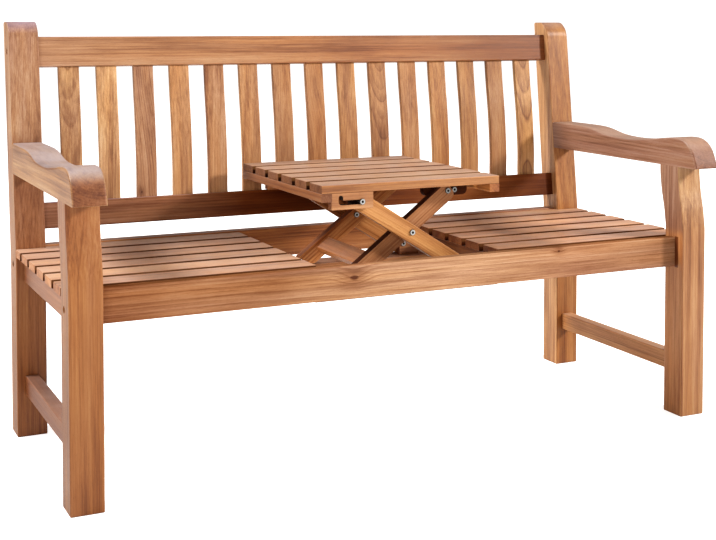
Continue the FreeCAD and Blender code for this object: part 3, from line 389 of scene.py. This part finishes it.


# tone of each piece, in the order red, green, blue: partly each board's own tone and partly painted light and shade,
# matched to how each piece and face is lit
TONE_AND_PAINTED_LIGHT = {
    "lower_pivot_blocks": {"tint": (0.58, 0.52, 0.50)},
    "sliding_leg_rear": {"tint": (0.92, 0.94, 1.10), "shine": 0.04},
    "pivoting_leg_front": {"tint": (1.04, 1.20, 1.38), "shine": 0.04, "contrast": 0.7, "window_any": True},
    "side_seat_rail_left": {"painted_shading": [(Y, [(-270, (0.74, 0.70, 0.76)), (-60, (0.60, 0.55, 0.60)), (240, (0.48, 0.43, 0.48))])]},
    # painted shade at the right seat's inner end: the bearer here, and the slats' left ends below, are darkened
    "seat_bearer_right": {"tint": (0.45, 0.38, 0.33)},
    "back_slat_01": {"tint": (1.144, 1.551, 2.203), "pith": (-2, 48), "slope": (0.0, 0.002, -0.06), "line": 0.42, "wave": 2.6, "ring": 5.5},
    "back_slat_02": {"tint": (1.155, 1.554, 2.294)},
    "back_slat_03": {"tint": (0.884, 1.096, 1.765), "pith": (70, 40), "ring": 4.6, "line": 0.34, "knots": [(-142, -13, 3.5)]},
    "back_slat_04": {"tint": (1.077, 1.343, 1.869)},
    "back_slat_05": {"tint": (0.904, 1.088, 1.586)},
    "back_slat_06": {"tint": (0.962, 1.175, 1.644)},
    "back_slat_07": {"tint": (0.82, 0.955, 1.296)},
    "back_slat_08": {"tint": (0.843, 0.924, 1.109)},
    "back_slat_09": {"tint": (0.906, 1.033, 1.2)},
    "back_slat_10": {"tint": (0.937, 1.126, 1.471), "pith": (8, 60), "slope": (0.0, 0.003, -0.035), "line": 0.26, "wave": 2.2},
    "back_slat_11": {"tint": (0.865, 1.0, 1.292)},
    "back_slat_12": {"tint": (0.852, 0.953, 1.088)},
    "back_slat_13": {"tint": (0.843, 0.973, 1.104)},
    "back_slat_14": {"tint": (0.708, 0.781, 0.916)},
    "back_slat_15": {"tint": (0.988, 1.219, 1.402), "pith": (3, 50), "slope": (0.0, -0.002, -0.06), "line": 0.40, "wave": 2.2, "ring": 5.8},
    # painted light and shade on the frame: legs darker low down, the left post darker between seat and arm, left sides
    # lighter, a contact shadow beside the front rail's end, rails brighter where the light is strongest
    "front_leg_left": {"tint": (0.71, 0.69, 0.70), "painted_shading": [(Z, [(0, (0.76, 0.68, 0.56)), (200, (0.83, 0.77, 0.68)), (400, (0.95, 0.91, 0.82)), (640, (0.94, 0.90, 0.96))])], "faces": [((-1, 0, 0), (0.95, 1.06, 1.25))]},
    "back_post_left": {"painted_shading": [(Z, [(0, (0.50, 0.43, 0.36)), (300, (0.52, 0.45, 0.40)), (440, (0.55, 0.53, 0.66)), (640, (0.56, 0.56, 0.74)), (690, (0.80, 0.98, 1.55)), (930, (0.83, 1.02, 1.68))])], "faces": [((-1, 0, 0), (1.18, 1.28, 1.25))]},
    "back_post_right": {"tint": (0.73, 0.74, 0.68), "faces": [((-1, 0, 0), (1.50, 1.92, 3.00))]},
    "front_leg_right": {"tint": (0.73, 0.80, 0.98), "faces": [((-1, 0, 0), (1.35, 1.35, 1.40)), ((-1, 0, 0), (0.62, 0.64, 0.88), (424, 450))], "painted_shading": [(Z, [(0, (1.0, 1.0, 1.0)), (420, (1.0, 1.0, 1.0)), (520, (1.15, 1.35, 1.5)), (640, (1.15, 1.35, 1.5))])], "window": ((-287, -276), (353, 425), (-1, 0, 0), (0.36, 0.24, 0.17)), "window_along": "Y"},
    "front_seat_rail": {"shine": 0.0, "bleach": 0.0, "contrast": 0.8, "faces": [((0, 0, 1), (0.82, 0.74, 0.62))], "painted_shading": [(X, [(-684, (0.66, 0.71, 1.05)), (-330, (0.75, 0.89, 1.40)), (-110, (1.12, 1.60, 2.90)), (150, (1.08, 1.50, 2.60)), (400, (0.85, 1.06, 1.85)), (684, (0.69, 0.87, 1.50))])]},
    "back_top_rail": {"painted_shading": [(X, [(-684, (0.93, 1.19, 1.95)), (-100, (0.85, 0.94, 1.22)), (250, (0.72, 0.72, 0.83)), (500, (0.47, 0.38, 0.32)), (684, (0.46, 0.36, 0.29))])]},
    # painted light and shadow along the front face of the bottom back rail: the table's and the arm's shadows, lighter
    # between them
    "back_bottom_rail": {"tint": (0.80, 0.76, 0.78), "shine": 0.14, "painted_shading": [(X, [(-684, (0.73, 0.88, 1.55)), (-364, (0.95, 1.08, 1.50)), (-200, (0.45, 0.30, 0.16)), (60, (0.33, 0.19, 0.09)), (250, (0.62, 0.45, 0.28)), (450, (0.95, 0.85, 0.72)), (570, (0.48, 0.34, 0.18)), (684, (0.33, 0.21, 0.10))], (0.0, -0.8, 0.6)), (Z, [(490, (0.88, 0.86, 0.84)), (520, (1.12, 1.12, 1.12))])]},
    # painted light and shade on the arms: tops and front ends recoloured for how they are lit
    "armrest_left": {"tint": (0.79, 0.98, 1.30), "faces": [((0, 0, 1), (0.83, 0.90, 1.06)), ((0, -1, 0), (0.85, 0.66, 0.58))]},
    "armrest_right": {"tint": (0.64, 0.78, 1.40), "faces": [((0, 0, 1), (0.84, 0.70, 0.58)), ((0, -1, 0), (0.88, 0.74, 0.60))]},
    "seat_slats_left": {"tint": (1.26, 1.52, 2.15)},
    "seat_slat_rear_left": {"tint": (1.26, 1.52, 2.15)},
    "seat_slats_right": {"tint": (1.34, 1.46, 1.62), "faces": [((-1, 0, 0), (0.62, 0.54, 0.47))]},
    "seat_slat_rear_right": {"tint": (1.34, 1.46, 1.62), "faces": [((-1, 0, 0), (0.62, 0.54, 0.47))]},
    "pivoting_leg_rear": {"tint": (0.80, 0.84, 0.95), "shine": 0.04},
    "sliding_leg_front": {"tint": (0.77, 0.90, 1.40), "shine": 0.04},
    "slotted_block_front": {"tint": (0.78, 0.86, 1.15)},
    "side_stretcher_left": {"tint": (0.38, 0.29, 0.25)},
    # painted shade: the pivot block deep under the table is made near black
    "pivot_block_front": {"tint": (0.14, 0.085, 0.06), "shine": 0.05},
    "side_stretcher_right": {"tint": (1.05, 1.2, 1.45)},
    "table_base_rails": {"tint": (0.60, 0.58, 0.56)},
    "rear_seat_rail": {"tint": (0.80, 0.76, 0.74)},
}
for i in range(6):
    TONE_AND_PAINTED_LIGHT["table_slat_%d" % (i + 1)] = {"tint": (0.86, 0.95, 1.10)}

specs = {}


def give(node, *args, **more):
    specs[node] = board(node, *args, **{**more, **TONE_AND_PAINTED_LIGHT.get(node, {})})


# frame
for side in ("left", "right"):
    give("front_leg_" + side, Z, X, Y, half=None)
    give("back_post_" + side, Z, X, Y, half=None)
    give("armrest_" + side, Y, Z, X, half=None, bleach=0.8, pith=(60, 30), ring=5.0, wave=7.0)
    give("side_seat_rail_" + side, Y, Z, X)
    give("side_stretcher_" + side, Y, Z, X)
    give("seat_bearer_" + side, Y, X, Z)
    give("seat_slat_rear_" + side, X, Y, Z, bleach=0.55, gap=(1.0, 0.0), deep_gap=(0.84, (0.10, 0.055, 0.04)))
    give("seat_slats_" + side, X, Y, Z, rows=(Y, -305 + 69 - 8.5, 82), recentre_on="v", half=(32.5, 9), bleach=0.55, gap=(1.0, 1.0), deep_gap=(0.84, (0.10, 0.055, 0.04)))
give("front_seat_rail", X, Z, Y, knots=[(-151, 9, 9), (357, 26, 4)], ring=6.0, pith=(-70, 60), line=0.20)
give("rear_seat_rail", X, Z, Y)
give("back_top_rail", X, Z, Y, half=None)
give("back_bottom_rail", X, Z, Y, half=None)
for i in range(15):
    give("back_slat_%02d" % (i + 1), Z, X, Y, half=None)
# table
for i in range(6):
    # the slats' end faces are darker, partly end grain and partly painted shade; the gap sides carry painted shade,
    # darkest low down
    give("table_slat_%d" % (i + 1), X, Y, Z, bleach=0.5, gap=(0.0 if i == 0 else 1.0, 0.0 if i == 5 else 1.0), deep_gap=(0.66, (0.06, 0.035, 0.025)), end=1.0, end_tint=(0.50, 0.46, 0.52))
for side in ("left", "right"):
    # painted shade: the left end bearer is made darker and greyer
    give("table_end_bearer_" + side, Y, X, Z, tint=(0.50, 0.50, 0.66) if side == "left" else (1.0, 1.0, 1.0))
for side in ("front", "rear"):
    # painted shade on the inner faces of the slot
    give("slotted_block_" + side, X, Z, Y, window=((-180, -108), (544, 570), (0, 1, 0), (0.06, 0.035, 0.025)), window_inner=True)
    give("pivot_block_" + side, X, Z, Y)
ca, sa = math.cos(math.radians(-31.08)), math.sin(math.radians(-31.08))
for side in ("front", "rear"):
    # painted shade on the leg's front face where it lies behind the slot
    give("pivoting_leg_" + side, (-0.8565, 0.0, 0.5162), (0.5162, 0.0, 0.8565), Y, half=None, window=((-176, -112), (544, 563), (0, -1, 0), (0.05, 0.03, 0.02)))
    # painted shade on the sliding legs' upper sides, which lie under the table
    give("sliding_leg_" + side, (0.7950, 0.0, 0.6066), (-0.6066, 0.0, 0.7950), Y, half=None, faces=[((-0.6066, 0.0, 0.7950), (0.16, 0.10, 0.08) if side == "front" else (0.62, 0.52, 0.48))])
give("sliding_leg_batten", Y, X, Z)
give("table_base_rails", X, Y, Z, rows=(Y, -305 + 251.5 - 400, 400), recentre_on="v", recentre=False, half=None)
give("lower_pivot_blocks", X, Z, Y, rows=(Y, -305 + 251.5 - 400, 400), recentre_on="v", recentre=False, half=None)

# centre lines of the bolts in millimetres
BOLTS = {
    "lower_pivot_bolts": [(144.709, 393.082)],
    "centre_pivot_bolts": [(8.85, 475.38)],
    "slot_pins": [(-120.10, 552.69)],
    "pivot_block_bolts": [(117.79, 555.68), (147.0, 554.0)],
    "frame_bolts": [(-266.0, 387.0), (256.0, 387.0), (306.5, 862.0)],
}
made = {}
for node, o in nodes.items():
    if node in specs:
        mat = teak("teak_" + node, specs[node])
    else:
        axes = BOLTS.get(node, [(0.0, -100.0)])
        mat = steel("steel_" + node, 3.0 + len(made), axes, "x" if node == "frame_bolts" else "y")
        made[node] = mat
    o.data.materials.clear()
    o.data.materials.append(mat)
    for p in o.data.polygons:
        p.material_index = 0


# ------------------------------------------------------------- floor and lights
def floor():
    me = bpy.data.meshes.new("floor")
    r = 60.0
    me.from_pydata([(-r, -r, 0), (r, -r, 0), (r, r, 0), (-r, r, 0)], [], [(0, 1, 2, 3)])
    o = bpy.data.objects.new("floor", me)
    scene.collection.objects.link(o)
    m = bpy.data.materials.new("floor_paint")
    t = Tree(m)
    tc = t.add("ShaderNodeTexCoord")
    n = t.noise(t.vec("SCALE", tc.outputs["Object"], scale=3.0), 3.0, 0.5)[0]
    c = t.ramp(n, [(0.3, (0.86, 0.86, 0.86)), (0.7, (0.89, 0.89, 0.89))])
    b = t.add("ShaderNodeBsdfPrincipled")
    t.put(b.inputs["Base Color"], c)
    b.inputs["Roughness"].default_value = 0.9
    b.inputs["Specular IOR Level"].default_value = 0.1
    glow = t.add("ShaderNodeEmission")
    glow.inputs["Color"].default_value = (1.0, 1.0, 1.0, 1.0)
    path = t.add("ShaderNodeLightPath")
    t.put(glow.inputs["Strength"], t.math("MULTIPLY", path.outputs["Is Camera Ray"], 0.62))
    both = t.add("ShaderNodeAddShader")
    t.tree.links.new(b.outputs[0], both.inputs[0])
    t.tree.links.new(glow.outputs[0], both.inputs[1])
    out = t.add("ShaderNodeOutputMaterial")
    t.tree.links.new(both.outputs[0], out.inputs["Surface"])
    me.materials.append(m)


floor()


def area(name, at, to, size, power, colour=(1, 1, 1)):
    d = bpy.data.lights.new(name, "AREA")
    d.shape = "RECTANGLE"
    d.size, d.size_y = size
    d.energy = power
    d.color = colour
    o = bpy.data.objects.new(name, d)
    scene.collection.objects.link(o)
    o.location = at
    o.rotation_euler = (Vector(to) - Vector(at)).to_track_quat("-Z", "Y").to_euler()
    return o


area("key_softbox", (6.0, -4.5, 3.9), (0.0, 0.0, 0.45), (1.1, 1.1), 600)
area("front_softbox", (-4.6, -7.4, 3.0), (-0.2, 0.0, 0.5), (2.8, 2.8), 190)
area("rim_softbox", (-7.4, 2.6, 7.6), (0.0, 0.0, 0.6), (2.2, 2.2), 950)

world = bpy.data.worlds.new("studio")
scene.world = world
world.use_nodes = True
wt = world.node_tree
wt.nodes.clear()
bg = wt.nodes.new("ShaderNodeBackground")
bg.inputs["Color"].default_value = (1.0, 1.0, 1.0, 1.0)
bg.inputs["Strength"].default_value = 0.32
seen = wt.nodes.new("ShaderNodeBackground")
seen.inputs["Color"].default_value = (1.0, 1.0, 1.0, 1.0)
seen.inputs["Strength"].default_value = 1.0
path = wt.nodes.new("ShaderNodeLightPath")
mixer = wt.nodes.new("ShaderNodeMixShader")
wout = wt.nodes.new("ShaderNodeOutputWorld")
wt.links.new(path.outputs["Is Camera Ray"], mixer.inputs[0])
wt.links.new(bg.outputs[0], mixer.inputs[1])
wt.links.new(seen.outputs[0], mixer.inputs[2])
wt.links.new(mixer.outputs[0], wout.inputs["Surface"])

scene.view_settings.view_transform = "Standard"
scene.view_settings.look = "Medium High Contrast"

# ---------------------------------------------------------------------- camera
cam = bpy.data.cameras.new("camera")
cam.sensor_fit = "HORIZONTAL"
cam.sensor_width = 36.0
cam.lens = 1302.514 / 716 * 36.0
cam.shift_x = (358.0 - 388.286) / 716
cam.shift_y = (79.245 - 270.0) / 716
cam.clip_end = 200.0
camera = bpy.data.objects.new("camera", cam)
scene.collection.objects.link(camera)
camera.location = (-1.27676, -2.72421, 0.93250)
camera.rotation_euler = Euler((math.radians(87.4539), math.radians(-0.0877), math.radians(-26.1827)), "XYZ")
scene.camera = camera
